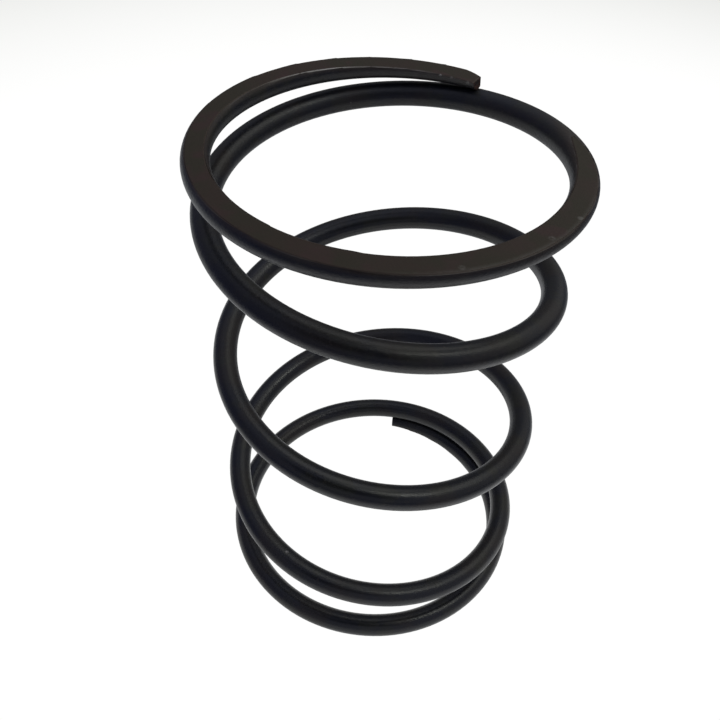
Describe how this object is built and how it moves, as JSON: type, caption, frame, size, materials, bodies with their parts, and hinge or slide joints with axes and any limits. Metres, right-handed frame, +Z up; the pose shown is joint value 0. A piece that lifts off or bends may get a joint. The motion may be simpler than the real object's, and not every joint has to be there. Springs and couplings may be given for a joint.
{
  "type": "compression spring",
  "caption": "Cylindrical coil spring in round wire with closed and ground ends, which pushes two flat seats apart.",
  "frame": {"origin": "middle of the lower ground face, in the plane that the spring stands on", "axes": "+Z up through the middle of the spring to its upper ground face; the lower tip lies 80 degrees round from +X towards +Y"},
  "size_m": [0.0376, 0.0368, 0.054],
  "materials": {
    "spring_wire": "black oil-tempered spring wire with a satin sheen, brown-black on its ground faces"
  },
  "bodies": {
    "root": {"spring": "spring_wire"}
  },
  "joints": []
}
